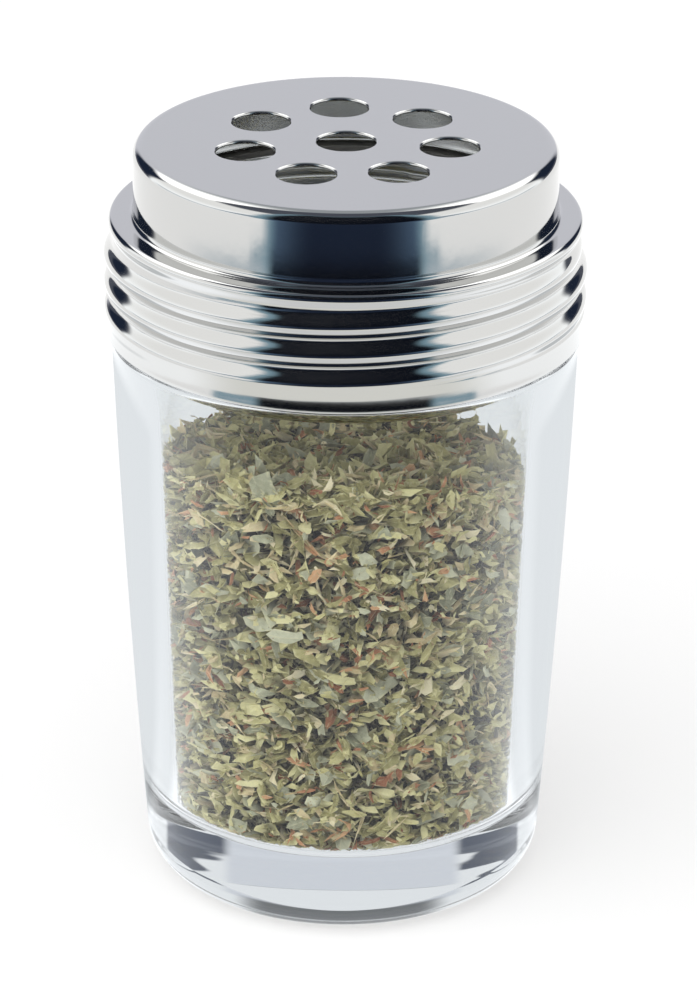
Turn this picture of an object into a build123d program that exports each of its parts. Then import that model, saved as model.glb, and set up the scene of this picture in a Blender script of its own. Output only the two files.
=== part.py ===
from build123d import *

import math
import os

# Glass spice shaker with a screw-on pressed steel lid.
# Millimetres. The origin is the centre of the base, +Z is up, and the jar, the lid, the seal
# and the thread all share the Z axis.

# ---- Driving dimensions: the jar ----
BASE_CORNER_RADIUS = 6.0
BASE_RADIUS = 27.75
WAIST_RADIUS = 30.45
WAIST_HEIGHT = 41.0
SHOULDER_RADIUS = 32.2
SHOULDER_HEIGHT = 80.9
SHOULDER_ROUNDING = 1.2
RECESS_RADIUS = 18.5
RECESS_DEPTH = 1.9
RECESS_SLOPE_WIDTH = 2.0
FLOOR_HEIGHT = 11.2
FLOOR_CORNER_RADIUS = 2.8
CAVITY_FLOOR_RADIUS = 23.75
MOUTH_RADIUS = 26.15
MOUTH_FOOT_HEIGHT = 76.4
MOUTH_FOOT_ROUNDING = 60.0
NECK_RADIUS = 30.6
LIP_HEIGHT = 96.6
LIP_ROUNDING = 0.9

# ---- Driving dimensions: the lid ----
TOTAL_HEIGHT = 108.0
SHEET = 0.5
DRUM_RADIUS = 29.0
DRUM_ROUNDING = 1.75
LEDGE_HEIGHT = 98.0
LEDGE_RADIUS = 32.4
LEDGE_ROUNDING = 0.8
FOOT_COVE = 0.8
LEDGE_ROLL_BOTTOM = 97.0
SKIRT_RADIUS = 32.05
SKIRT_TOP = 96.2
FLARE_TOP = 85.8
BAND_TOP = 85.0
BAND_TOP_RADIUS = 32.9
BAND_RADIUS = 33.0
SKIRT_BOTTOM = 81.6
CURL_INNER_RADIUS = 32.05
CURL_HEIGHT = 0.95
CURL_ROUNDING = 0.42

# ---- Driving dimensions: the pour holes ----
HOLE_RADIUS = 4.0
HOLE_RING_RADIUS = 14.2
HOLES_IN_RING = 7
FIRST_HOLE_ANGLE = 94.0

# ---- Driving dimensions: the right-hand knuckle thread ----
PITCH = 4.0
LID_THREAD_CENTRE = 31.585
LID_RIB_RADIUS = 1.515
LID_THREAD_START = -960.0
LID_THREAD_END = 15.0
GROOVE_END_MARGIN = 1.0
RIB_HEIGHT_AT_ZERO = 94.6
JAR_THREAD_CENTRE = 30.9
JAR_RIDGE_RADIUS = 0.95
JAR_THREAD_START = -720.0
JAR_THREAD_END = -180.0
THREAD_BACKLASH = 0.1

# ---- Driving dimensions: the seal and the herbs ----
SEAL_INNER_RADIUS = 28.3
SEAL_OUTER_RADIUS = 31.2
HERB_GAP = 0.3
HERB_CORNER_RADIUS = 3.0
HERB_REACH = 26.0
HERB_FRONT_HEIGHT = 68.2
HERB_MIDDLE_HEIGHT = 63.2
HERB_BACK_HEIGHT = 61.6


def turned(points, fillets=(), arc_through=None):
    """Revolve a closed outline of (radius, height) points about Z.

    fillets holds (corner point, radius) pairs. arc_through is (start, middle, end) of the one
    side that is an arc instead of a straight line.
    """
    edges = []
    for start, end in zip(points, points[1:] + points[:1]):
        if arc_through and arc_through[0] == start and arc_through[2] == end:
            edges.append(ThreePointArc(start, arc_through[1], end))
        else:
            edges.append(Line(start, end))
    face = make_face(Curve() + edges)
    for corner, radius in fillets:
        nearest = face.vertices().sort_by_distance((corner[0], corner[1], 0))[0]
        face = fillet(nearest, radius)
    return revolve(Plane.XZ * face, Axis.Z)


def rib_height(angle):
    """Height of the lid's rib centre at an angle in degrees, anticlockwise from +X."""
    return RIB_HEIGHT_AT_ZERO + PITCH * angle / 360.0


def thread_bar(centre_radius, bar_radius, start_angle, end_angle, drop=0.0):
    """A round bar wound on the lid rib's right-hand helix, or drop below it."""
    helix = Helix(PITCH, PITCH * (end_angle - start_angle) / 360.0, centre_radius)
    start = Plane(origin=helix @ 0, x_dir=(1, 0, 0), z_dir=helix % 0)
    bar = sweep(start * Circle(bar_radius), path=helix, is_frenet=True)
    return Pos(0, 0, rib_height(start_angle) - drop) * Rot(0, 0, start_angle) * bar


def glass_jar():
    """Thick tapered jar with a heavy recessed base and an outside thread on its neck."""
    recess_edge = RECESS_RADIUS + RECESS_SLOPE_WIDTH
    foot = (BASE_RADIUS, 0.0)
    shoulder = (SHOULDER_RADIUS, SHOULDER_HEIGHT)
    lip_outer = (NECK_RADIUS, LIP_HEIGHT)
    lip_inner = (MOUTH_RADIUS, LIP_HEIGHT)
    mouth_foot = (MOUTH_RADIUS, MOUTH_FOOT_HEIGHT)
    floor_corner = (CAVITY_FLOOR_RADIUS, FLOOR_HEIGHT)
    outline = [
        (0.0, RECESS_DEPTH),
        (RECESS_RADIUS, RECESS_DEPTH),
        (recess_edge, 0.0),
        foot,
        shoulder,
        (NECK_RADIUS, SHOULDER_HEIGHT),
        lip_outer,
        lip_inner,
        mouth_foot,
        floor_corner,
        (0.0, FLOOR_HEIGHT),
    ]
    roundings = [
        (foot, BASE_CORNER_RADIUS),
        (shoulder, SHOULDER_ROUNDING),
        (lip_outer, LIP_ROUNDING),
        (lip_inner, LIP_ROUNDING),
        (mouth_foot, MOUTH_FOOT_ROUNDING),
        (floor_corner, FLOOR_CORNER_RADIUS),
    ]
    body = turned(outline, roundings, (foot, (WAIST_RADIUS, WAIST_HEIGHT), shoulder))
    ridge = thread_bar(
        JAR_THREAD_CENTRE,
        JAR_RIDGE_RADIUS,
        JAR_THREAD_START,
        JAR_THREAD_END,
        THREAD_BACKLASH,
    )
    return body + ridge


def band_radius(height):
    """Outer radius of the lid's band at a height."""
    share = (BAND_TOP - height) / (BAND_TOP - SKIRT_BOTTOM)
    return BAND_TOP_RADIUS + share * (BAND_RADIUS - BAND_TOP_RADIUS)


def lid_outside():
    """The solid that the lid's outer surface encloses, without its holes."""
    drum_edge = (DRUM_RADIUS, TOTAL_HEIGHT)
    drum_foot = (DRUM_RADIUS, LEDGE_HEIGHT)
    ledge_edge = (LEDGE_RADIUS, LEDGE_HEIGHT)
    outline = [
        (0.0, TOTAL_HEIGHT),
        drum_edge,
        drum_foot,
        ledge_edge,
        (LEDGE_RADIUS, LEDGE_ROLL_BOTTOM),
        (SKIRT_RADIUS, SKIRT_TOP),
        (SKIRT_RADIUS, FLARE_TOP),
        (BAND_TOP_RADIUS, BAND_TOP),
        (BAND_RADIUS, SKIRT_BOTTOM),
        (0.0, SKIRT_BOTTOM),
    ]
    roundings = [
        (drum_edge, DRUM_ROUNDING),
        (drum_foot, FOOT_COVE),
        (ledge_edge, LEDGE_ROUNDING),
        ((BAND_RADIUS, SKIRT_BOTTOM), CURL_ROUNDING),
    ]
    rib = thread_bar(LID_THREAD_CENTRE, LID_RIB_RADIUS, LID_THREAD_START, LID_THREAD_END)
    return turned(outline, roundings) + rib


def lid_inside():
    """The space inside the lid's sheet, with the groove that the rib leaves within."""
    drum_edge = (DRUM_RADIUS - SHEET, TOTAL_HEIGHT - SHEET)
    drum_foot = (DRUM_RADIUS - SHEET, LEDGE_HEIGHT - SHEET)
    ledge_edge = (LEDGE_RADIUS - SHEET, LEDGE_HEIGHT - SHEET)
    curl_top = SKIRT_BOTTOM + CURL_HEIGHT
    outline = [
        (0.0, TOTAL_HEIGHT - SHEET),
        drum_edge,
        drum_foot,
        ledge_edge,
        (LEDGE_RADIUS - SHEET, LEDGE_ROLL_BOTTOM),
        (SKIRT_RADIUS - SHEET, SKIRT_TOP),
        (SKIRT_RADIUS - SHEET, FLARE_TOP),
        (BAND_TOP_RADIUS - SHEET, BAND_TOP),
        (band_radius(curl_top) - SHEET, curl_top),
        (CURL_INNER_RADIUS, curl_top),
        (CURL_INNER_RADIUS, SKIRT_BOTTOM),
        (0.0, SKIRT_BOTTOM),
    ]
    roundings = [
        (drum_edge, DRUM_ROUNDING - SHEET),
        (drum_foot, FOOT_COVE + SHEET),
        (ledge_edge, LEDGE_ROUNDING - SHEET),
    ]
    groove = thread_bar(
        LID_THREAD_CENTRE,
        LID_RIB_RADIUS - SHEET,
        LID_THREAD_START + GROOVE_END_MARGIN,
        LID_THREAD_END - GROOVE_END_MARGIN,
    )
    return turned(outline, roundings) + groove


def pour_holes():
    """Round cutters for the middle hole and the ring of holes around it."""
    cutter = Pos(0, 0, TOTAL_HEIGHT) * Cylinder(HOLE_RADIUS, 4 * SHEET)
    cutters = [cutter]
    for index in range(HOLES_IN_RING):
        angle = math.radians(FIRST_HOLE_ANGLE - index * 360.0 / HOLES_IN_RING)
        x = HOLE_RING_RADIUS * math.cos(angle)
        y = HOLE_RING_RADIUS * math.sin(angle)
        cutters.append(Pos(x, y, 0) * cutter)
    return cutters


def screw_lid():
    """Pressed sheet lid: drum with pour holes, ledge, and a skirt with a rolled thread."""
    return lid_outside() - lid_inside() - pour_holes()


def seal_ring():
    """Flat washer between the jar's lip and the underside of the lid's ledge."""
    bottom = LIP_HEIGHT
    top = LEDGE_HEIGHT - SHEET
    return turned([
        (SEAL_INNER_RADIUS, bottom),
        (SEAL_OUTER_RADIUS, bottom),
        (SEAL_OUTER_RADIUS, top),
        (SEAL_INNER_RADIUS, top),
    ])


def herb_fill():
    """The heap of dried leaf in the jar: clear of the glass wall, and banked up at the front."""
    bottom_corner = (CAVITY_FLOOR_RADIUS - HERB_GAP, FLOOR_HEIGHT)
    outline = [
        (0.0, FLOOR_HEIGHT),
        bottom_corner,
        (MOUTH_RADIUS - HERB_GAP, MOUTH_FOOT_HEIGHT),
        (0.0, MOUTH_FOOT_HEIGHT),
    ]
    packed = turned(outline, [(bottom_corner, HERB_CORNER_RADIUS)])
    front = (-HERB_REACH, HERB_FRONT_HEIGHT)
    back = (HERB_REACH, HERB_BACK_HEIGHT)
    low_front = (-HERB_REACH, 0.0)
    low_back = (HERB_REACH, 0.0)
    sides = [
        ThreePointArc(front, (0.0, HERB_MIDDLE_HEIGHT), back),
        Line(back, low_back),
        Line(low_back, low_front),
        Line(low_front, front),
    ]
    side_view = Plane.YZ * make_face(Curve() + sides)
    return packed & extrude(side_view, HERB_REACH, both=True)


PARTS = {
    "glass_jar": glass_jar,
    "screw_lid": screw_lid,
    "seal_ring": seal_ring,
    "herb_fill": herb_fill,
}

os.makedirs("parts", exist_ok=True)
for name, build in PARTS.items():
    export_step(build(), f"parts/{name}.step")
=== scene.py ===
"""Looks of a glass spice shaker: a thick glass jar of dried herbs under a pressed steel lid.

Sizes are millimetres in the dataclass fields and metres in the meshes, in the frame of the CAD
model: the base's centre is the origin, +Z is up and -Y is the front.
"""

import logging
import math
from collections.abc import Callable, Mapping, Sequence
from dataclasses import dataclass
from enum import Enum, IntEnum

import bmesh
import bpy
import numpy as np
from mathutils import Matrix, Vector


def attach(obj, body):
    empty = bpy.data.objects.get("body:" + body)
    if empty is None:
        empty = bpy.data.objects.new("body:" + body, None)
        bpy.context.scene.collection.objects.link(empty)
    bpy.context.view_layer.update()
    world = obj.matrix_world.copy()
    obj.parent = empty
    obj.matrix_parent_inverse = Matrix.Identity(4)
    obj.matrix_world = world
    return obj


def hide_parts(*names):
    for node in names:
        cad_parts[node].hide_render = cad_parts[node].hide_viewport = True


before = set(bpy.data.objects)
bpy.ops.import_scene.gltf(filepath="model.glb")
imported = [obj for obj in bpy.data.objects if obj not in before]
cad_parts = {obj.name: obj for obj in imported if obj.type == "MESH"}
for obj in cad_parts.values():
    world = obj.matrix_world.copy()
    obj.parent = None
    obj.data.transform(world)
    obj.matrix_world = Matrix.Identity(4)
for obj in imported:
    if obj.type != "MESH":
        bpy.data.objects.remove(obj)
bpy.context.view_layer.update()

MM = 0.001
SEED = 20
# Mesh attributes: the rim, for the paler midrib and the painted highlight along the rim, and how deep a
# point is buried, for painted shade.
RIM = "rim"
BURIED = "buried"
log = logging.getLogger("shaker")

Colour = tuple[float, float, float]
Span = tuple[float, float]
Array = np.ndarray
Shape = Callable[[Array, Array, Array], Array]


# ---- Shader maths ----


class Wire:
    """An output socket of a node tree. Arithmetic on it adds Math nodes to the tree."""

    def __init__(self, tree: "NodeTree", socket: bpy.types.NodeSocket) -> None:
        """Keep the socket with the tree that new nodes go into.

        Args:
            tree: The tree that the socket belongs to.
            socket: The output socket.
        """
        self.tree = tree
        self.socket = socket

    def math(self, operation: str, *others: "Wire | float") -> "Wire":
        """Apply one Math operation with this socket as its first value.

        Args:
            operation: The Math node's operation.
            others: The further values.

        Returns:
            The result's socket.
        """
        values = dict(enumerate((self, *others)))
        return self.tree.add("ShaderNodeMath", {"operation": operation}, values)

    def __add__(self, other: "Wire | float") -> "Wire":
        """The sum."""
        return self.math("ADD", other)

    __radd__ = __add__

    def __mul__(self, other: "Wire | float") -> "Wire":
        """The product."""
        return self.math("MULTIPLY", other)

    __rmul__ = __mul__

    def __sub__(self, other: "Wire | float") -> "Wire":
        """This value less the other."""
        return self.math("SUBTRACT", other)

    def __rsub__(self, other: float) -> "Wire":
        """The number less this value."""
        return self.math("MULTIPLY", -1.0).math("ADD", other)

    def __truediv__(self, other: "Wire | float") -> "Wire":
        """This value over the other."""
        return self.math("DIVIDE", other)

    def __pow__(self, other: float) -> "Wire":
        """This value to a power."""
        return self.math("POWER", other)

    def __lt__(self, other: "Wire | float") -> "Wire":
        """1 where this value is the smaller, and otherwise 0."""
        return self.math("LESS_THAN", other)

    def rise(self, start: float, end: float) -> "Wire":
        """A smooth step from 0 at start to 1 at end; start may be the larger.

        Args:
            start: The value where the step begins.
            end: The value where it ends.

        Returns:
            The step's socket.
        """
        settings = {"interpolation_type": "SMOOTHSTEP"}
        low, high = min(start, end), max(start, end)
        values = {"Value": self, "From Min": low, "From Max": high}
        step = self.tree.add("ShaderNodeMapRange", settings, values)
        return step if start < end else 1.0 - step


Value = Wire | float | Sequence[float]


class NodeTree:
    """A material's or the world's node tree while it is being written."""

    def __init__(self, owner: bpy.types.Material | bpy.types.World) -> None:
        """Empty the owner's tree.

        Args:
            owner: The material or the world.
        """
        owner.use_nodes = True
        self.kind = "World" if isinstance(owner, bpy.types.World) else "Material"
        self.tree = owner.node_tree
        self.tree.nodes.clear()

    def add(
        self,
        kind: str,
        settings: Mapping[str, object] | None = None,
        sockets: Mapping[str | int, Value] | None = None,
        output: str | int = 0,
    ) -> Wire:
        """Add one node, with its settings first and its sockets after them.

        Args:
            kind: The node's type.
            settings: Attributes of the node; "stops" holds a ramp's (position, colour) pairs.
            sockets: A value or a link for each input, by name or number.
            output: The output to hand back, by name or number.

        Returns:
            The chosen output, or for an output node its first input's wire.
        """
        node = self.tree.nodes.new(kind)
        for name, setting in (settings or {}).items():
            if name == "stops":
                self._set_stops(node.color_ramp, setting)
            else:
                setattr(node, name, setting)
        for name, value in (sockets or {}).items():
            socket = node.inputs[name]
            if isinstance(value, Wire):
                self.tree.links.new(value.socket, socket)
            elif isinstance(value, (int, float)) or len(value) == len(socket.default_value):
                socket.default_value = value
            else:
                socket.default_value = (*value, 1.0)
        return Wire(self, node.outputs[output] if node.outputs else node.inputs[0])

    @staticmethod
    def _set_stops(ramp: bpy.types.ColorRamp, stops: Sequence[tuple[float, Colour]]) -> None:
        """Give a colour ramp its stops.

        Args:
            ramp: The ramp.
            stops: The (position, colour) pairs, in order.
        """
        while len(ramp.elements) < len(stops):
            ramp.elements.new(1.0)
        for element, (position, colour) in zip(ramp.elements, stops):
            element.position = position
            element.color = (*colour, 1.0)

    def blend(self, factor: Wire | float, first: Value, second: Value) -> Wire:
        """Mix two colours.

        Args:
            factor: 0 gives the first colour and 1 the second.
            first: The first colour.
            second: The second colour.

        Returns:
            The mixed colour.
        """
        sockets = {0: factor, 6: first, 7: second}
        return self.add("ShaderNodeMix", {"data_type": "RGBA"}, sockets, 2)

    def place(self) -> Wire:
        """The point on the surface, in the frame's metres."""
        return self.add("ShaderNodeTexCoord", output="Object")

    def stretched(self, point: Wire, scale: Sequence[float]) -> Wire:
        """The point with each of its coordinates scaled.

        Args:
            point: The point.
            scale: The three factors.

        Returns:
            The scaled point.
        """
        settings = {"operation": "MULTIPLY"}
        return self.add("ShaderNodeVectorMath", settings, {0: point, 1: scale})

    def noise(self, point: Wire, length: float, detail: float = 2.0) -> Wire:
        """Smooth noise from 0 to 1.

        Args:
            point: Where the noise is read.
            length: The length of its waves, in the point's unit.
            detail: Its octaves.

        Returns:
            The noise.
        """
        sockets = {"Vector": point, "Scale": 1.0 / length, "Detail": detail}
        return self.add("ShaderNodeTexNoise", None, sockets)

    def bump(self, height: Wire, strength: float, distance: float) -> Wire:
        """A normal bent by a height.

        Args:
            height: The height, about 0 to 1.
            strength: How much of the bend counts.
            distance: The height's unit in metres.

        Returns:
            The normal.
        """
        sockets = {"Height": height, "Strength": strength, "Distance": distance}
        return self.add("ShaderNodeBump", None, sockets)

    def axes(self, point: Wire) -> list[Wire]:
        """The point's x, y and z."""
        return [self.add("ShaderNodeSeparateXYZ", None, {0: point}, axis) for axis in "XYZ"]

    def from_axis(self, point: Wire) -> Wire:
        """The point's distance from the Z axis."""
        x, y, _ = self.axes(point)
        return (x * x + y * y).math("SQRT")

    def ray(self, answer: str) -> Wire:
        """One answer of the Light Path node about the ray."""
        return self.add("ShaderNodeLightPath", output=answer)

    def surface(self, shader: Wire) -> None:
        """Feed the shader to the material's or the world's output."""
        self.add(f"ShaderNodeOutput{self.kind}", None, {"Surface": shader})


# ---- Finishes ----


@dataclass(frozen=True)
class Finish:
    """A finish that is one Principled shader."""

    name: str

    def inputs(self, nodes: NodeTree) -> dict[str, Value]:
        """What the shader's sockets get.

        Args:
            nodes: The material's tree.

        Returns:
            The values and links, by the sockets' names.
        """
        raise NotImplementedError

    def material(self) -> bpy.types.Material:
        """Make the finish.

        Returns:
            The material.
        """
        material = bpy.data.materials.new(self.name)
        nodes = NodeTree(material)
        nodes.surface(nodes.add("ShaderNodeBsdfPrincipled", None, self.inputs(nodes)))
        return material


@dataclass(frozen=True)
class ClearGlass(Finish):
    """Fire polished soda glass with the faint waves that a mould leaves."""

    name: str = "clear_glass"
    tint: Colour = (0.985, 0.995, 0.995)
    refraction: float = 1.5
    wave_length: float = 9.0
    wave_depth: float = 0.02
    wave_stretch: tuple[float, float, float] = (1.0, 1.0, 0.35)

    def inputs(self, nodes: NodeTree) -> dict[str, Value]:
        """What the glass's sockets get.

        Args:
            nodes: The material's tree.

        Returns:
            The values and links, by the sockets' names.
        """
        place = nodes.stretched(nodes.place(), self.wave_stretch)
        waves = nodes.noise(place, self.wave_length * MM, detail=1.0)
        return {
            "Base Color": self.tint,
            "Roughness": 0.0,
            "IOR": self.refraction,
            "Transmission Weight": 1.0,
            "Normal": nodes.bump(waves, strength=0.35, distance=self.wave_depth * MM),
        }


@dataclass(frozen=True)
class Steel(Finish):
    """Stainless steel sheet, polished or satin, with the marks of its making."""

    name: str
    colour: Colour = (0.60, 0.60, 0.59)
    roughness: float = 0.05
    roughness_spread: float = 0.03
    satin_roughness: float = 0.05
    satin_inside: float = 0.0
    satin_fade: Span = (0.9, -0.3)
    ripple_depth: float = 0.004
    ripple_length: float = 2.2
    grain_length: float = 0.6
    grain_stretch: tuple[float, float, float] = (1.0, 1.0, 1.0)

    def inputs(self, nodes: NodeTree) -> dict[str, Value]:
        """What the steel's sockets get: satin inside a radius and polished outside it.

        Args:
            nodes: The material's tree.

        Returns:
            The values and links, by the sockets' names.
        """
        place = nodes.place()
        stretched = nodes.stretched(place, self.grain_stretch)
        grain = nodes.noise(stretched, self.grain_length * MM, detail=3.0)
        ripple = nodes.noise(place, self.ripple_length * MM)
        start, end = ((self.satin_inside + reach) * MM for reach in self.satin_fade)
        satin = nodes.from_axis(place).rise(start, end)
        polished = self.roughness + self.roughness_spread * grain
        matt = self.satin_roughness + self.roughness_spread * grain
        return {
            "Base Color": self.colour,
            "Metallic": 1.0,
            "Roughness": polished + satin * (matt - polished),
            "Normal": nodes.bump(ripple, strength=0.6, distance=self.ripple_depth * MM),
        }


@dataclass(frozen=True)
class SealPlastic(Finish):
    """Plastic, painted dark grey as shade for the shadow it lies in under the lid, slightly cloudy."""

    name: str = "seal_plastic"
    # Painted shade: both greys are darkened for the shadow under the lid.
    dark: Colour = (0.18, 0.18, 0.175)
    light: Colour = (0.27, 0.27, 0.26)
    roughness: float = 0.45
    roughness_spread: float = 0.2
    cloud_length: float = 3.0
    cloud_depth: float = 0.05

    def inputs(self, nodes: NodeTree) -> dict[str, Value]:
        """What the plastic's sockets get.

        Args:
            nodes: The material's tree.

        Returns:
            The values and links, by the sockets' names.
        """
        clouds = nodes.noise(nodes.place(), self.cloud_length * MM, detail=3.0)
        return {
            "Base Color": nodes.blend(clouds, self.dark, self.light),
            "Roughness": self.roughness + self.roughness_spread * clouds,
            "Normal": nodes.bump(clouds, strength=0.3, distance=self.cloud_depth * MM),
        }


@dataclass(frozen=True)
class DriedLeaf(Finish):
    """Dried leaf: a tone of its own for each flake, fine veins, a paler midrib, a painted highlight along
    the rim, and painted shade deep in the heap.
    """

    name: str
    dark: Colour
    middle: Colour
    light: Colour
    # The paler midrib, and the painted highlight along the rim.
    pale: Colour = (0.84, 0.80, 0.52)
    # Painted shade for flakes that lie deep in the heap.
    buried_shade: Colour = (0.022, 0.022, 0.026)
    dark_stop: float = 0.08
    middle_stop: float = 0.5
    light_stop: float = 0.92
    flake_weight: float = 0.85
    vein_weight: float = 0.5
    shade_offset: float = 0.15
    vein_length: float = 0.7
    vein_depth: float = 0.12
    rim_line: Span = (0.70, 1.0)
    midrib_line: Span = (0.12, 0.0)
    line_gaps: Span = (0.35, 0.65)
    line_strength: float = 0.6
    roughness: float = 0.7
    roughness_spread: float = 0.25

    def inputs(self, nodes: NodeTree) -> dict[str, Value]:
        """What the leaf's sockets get, with painted shade where a flake is buried in the heap.

        Args:
            nodes: The material's tree.

        Returns:
            The values and links, by the sockets' names.
        """
        flake = nodes.add("ShaderNodeNewGeometry", output="Random Per Island")
        rim = nodes.add("ShaderNodeAttribute", {"attribute_name": RIM}, output="Fac")
        buried = nodes.add("ShaderNodeAttribute", {"attribute_name": BURIED}, output="Fac")
        veins = nodes.noise(nodes.place(), self.vein_length * MM, detail=3.0)
        shade = flake * self.flake_weight + veins * self.vein_weight - self.shade_offset
        places = (self.dark_stop, self.middle_stop, self.light_stop)
        stops = tuple(zip(places, (self.dark, self.middle, self.light)))
        leaf = nodes.add("ShaderNodeValToRGB", {"stops": stops}, {0: shade})
        # Pale lines: a painted highlight along the rim and the paler midrib, broken up by the veins.
        edges = rim.rise(*self.rim_line).math("MAXIMUM", rim.rise(*self.midrib_line))
        lines = edges * veins.rise(*self.line_gaps)
        lined = nodes.blend(lines * self.line_strength, leaf, self.pale)
        return {
            # Painted shade: the deeper a flake lies in the heap, the darker it is painted.
            "Base Color": nodes.blend(buried, lined, self.buried_shade),
            "Roughness": self.roughness + self.roughness_spread * veins,
            "Specular IOR Level": 0.06,
            "Normal": nodes.bump(veins, strength=0.5, distance=self.vein_depth * MM),
        }


class Herb(Enum):
    """The kinds of flake in the jar, each with its finish, and the near-black painted shade of the heap's
    core.
    """

    OLIVE = DriedLeaf("olive_leaf", (0.26, 0.24, 0.10), (0.64, 0.60, 0.29), (0.88, 0.84, 0.48))
    SAGE = DriedLeaf("sage_leaf", (0.28, 0.29, 0.19), (0.53, 0.54, 0.38), (0.74, 0.75, 0.55))
    STRAW = DriedLeaf("straw_leaf", (0.52, 0.42, 0.22), (0.84, 0.72, 0.44), (0.95, 0.88, 0.62))
    RUSSET = DriedLeaf("russet_leaf", (0.26, 0.10, 0.05), (0.58, 0.27, 0.14), (0.78, 0.48, 0.26))
    # Painted shade: the core's near-black stands for the shaded inside of the heap.
    SHADED_CORE = DriedLeaf("herb_core_shade", (0.020, 0.020, 0.024), (0.04, 0.04, 0.045), (0.09, 0.085, 0.07))


# ---- Meshes ----


@dataclass(frozen=True)
class Corner:
    """A corner of a turned outline, and how far it is rounded. All in millimetres."""

    radius: float
    height: float
    rounding: float = 0.0


ARC_STEP = math.radians(9.0)
LEAST_STEPS = 3
SUPPORT = 0.3
SUPPORT_SHARE = 0.3
LONG_STRETCH = 1.2
AXIS_GAP = 0.05


def polar(radius: Array | float, turn: Array) -> tuple[Array, Array]:
    """The x and y of points at a radius and at angles in radians."""
    return radius * np.cos(turn), radius * np.sin(turn)


def support_row(at: Array, way: Array, run: float, reach: float) -> list[Array]:
    """A row just past an arc, where the stretch behind it is long enough.

    Args:
        at: The corner that the arc rounds.
        way: The direction of the stretch.
        run: How far from the corner the arc ends.
        reach: The stretch's length from the corner.

    Returns:
        The row, or none.
    """
    if reach <= run * LONG_STRETCH:
        return []
    return [at + way * (run + min(SUPPORT, (reach - run) * SUPPORT_SHARE))]


def rounded_outline(corners: Sequence[Corner]) -> Array:
    """Round the corners of an open outline.

    A row is added just past each arc, so that smooth shading leaves the flat stretches flat.

    Args:
        corners: The outline's corners, in order.

    Returns:
        The (radius, height) rows.
    """
    points = [np.array((corner.radius, corner.height)) for corner in corners]
    rows = [points[0]]
    for before, at, after, corner in zip(points, points[1:], points[2:], corners[1:]):
        if not corner.rounding:
            rows.append(at)
            continue
        back, ahead = before - at, after - at
        reach = (np.linalg.norm(back), np.linalg.norm(ahead))
        back, ahead = back / reach[0], ahead / reach[1]
        half = math.acos(float(np.clip(back @ ahead, -1, 1))) / 2
        run = corner.rounding / math.tan(half)
        middle = at + (back + ahead) / np.linalg.norm(back + ahead) * corner.rounding / math.sin(half)
        first, last = at + back * run - middle, at + ahead * run - middle
        sweep = math.pi - 2 * half
        steps = max(LEAST_STEPS, math.ceil(sweep / ARC_STEP))
        rows += support_row(at, back, run, reach[0])
        for step in range(steps + 1):
            share = step / steps
            turn = (math.sin((1 - share) * sweep) * first + math.sin(share * sweep) * last) / math.sin(sweep)
            rows.append(middle + turn)
        rows += support_row(at, ahead, run, reach[1])
    rows.append(points[-1])
    return np.array(rows)


def arc_radius(heights: Array, start: Corner, middle: Corner, end: Corner) -> Array:
    """The radii of a circular arc through three corners, at given heights.

    Args:
        heights: The heights.
        start: The arc's first point.
        middle: A point on the arc.
        end: Its last point.

    Returns:
        The radius at each height.
    """
    rows = np.array([[2 * c.radius, 2 * c.height, 1.0] for c in (start, middle, end)])
    squares = np.array([c.radius**2 + c.height**2 for c in (start, middle, end)])
    centre_r, centre_z, rest = np.linalg.solve(rows, squares)
    size = rest + centre_r**2 + centre_z**2
    side = math.copysign(1.0, middle.radius - centre_r)
    return centre_r + side * np.sqrt(size - (heights - centre_z) ** 2)


def smooth_larger(first: Array, second: Array | float, width: float) -> Array:
    """The larger of two values, with a fillet where they cross.

    Args:
        first: The first value.
        second: The second value.
        width: How far the fillet reaches.

    Returns:
        The filleted larger value.
    """
    near = np.maximum(width - np.abs(first - second), 0.0)
    return np.maximum(first, second) + near**2 / (4 * width)


@dataclass(frozen=True)
class Thread:
    """A round bar wound on a right-hand helix, fading out at both ends."""

    centre_radius: float
    bar_radius: float
    start_angle: float
    end_angle: float
    height_at_zero: float
    pitch: float = 4.0
    fade: float = 60.0
    fillet: float = 0.3

    def radius(self, base: Array, heights: Array, angles: Array) -> Array:
        """The wall's radius with the bar on it.

        Args:
            base: The plain wall's radius.
            heights: The points' heights.
            angles: Their angles from +X in degrees, anticlockwise.

        Returns:
            The radius at each point.
        """
        above = self.height_at_zero + self.pitch * angles / 360.0 - heights
        turn = np.round(above / self.pitch)
        away = above - turn * self.pitch
        along = angles - 360.0 * turn
        ends = np.minimum(along - self.start_angle, self.end_angle - along) / self.fade
        share = np.clip(ends, 0.0, 1.0)
        share = share * share * (3 - 2 * share)
        return base + share * (self.full(base, away) - base)

    def full(self, base: Array, away: Array) -> Array:
        """The radius of the wall with a turn at its full height.

        Args:
            base: The plain wall's radius.
            away: How far above or below the turn's middle the points lie.

        Returns:
            The radius at each point.
        """
        bar = self.centre_radius + np.sqrt(np.maximum(self.bar_radius**2 - away**2, 0.0))
        return smooth_larger(bar, base, self.fillet)


@dataclass(frozen=True)
class RolledRib(Thread):
    """A rib that is rolled into sheet on such a helix, with a soft foot."""

    fullness: float = 0.75

    def full(self, base: Array, away: Array) -> Array:
        """The radius of the sheet with a turn at its full height.

        Args:
            base: The plain sheet's radius.
            away: How far above or below the turn's middle the points lie.

        Returns:
            The radius at each point.
        """
        wave = 0.5 + 0.5 * np.cos(2 * np.pi * away / self.pitch)
        crest = self.centre_radius + self.bar_radius
        return base + np.maximum(crest - base, 0.0) * wave**self.fullness


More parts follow.
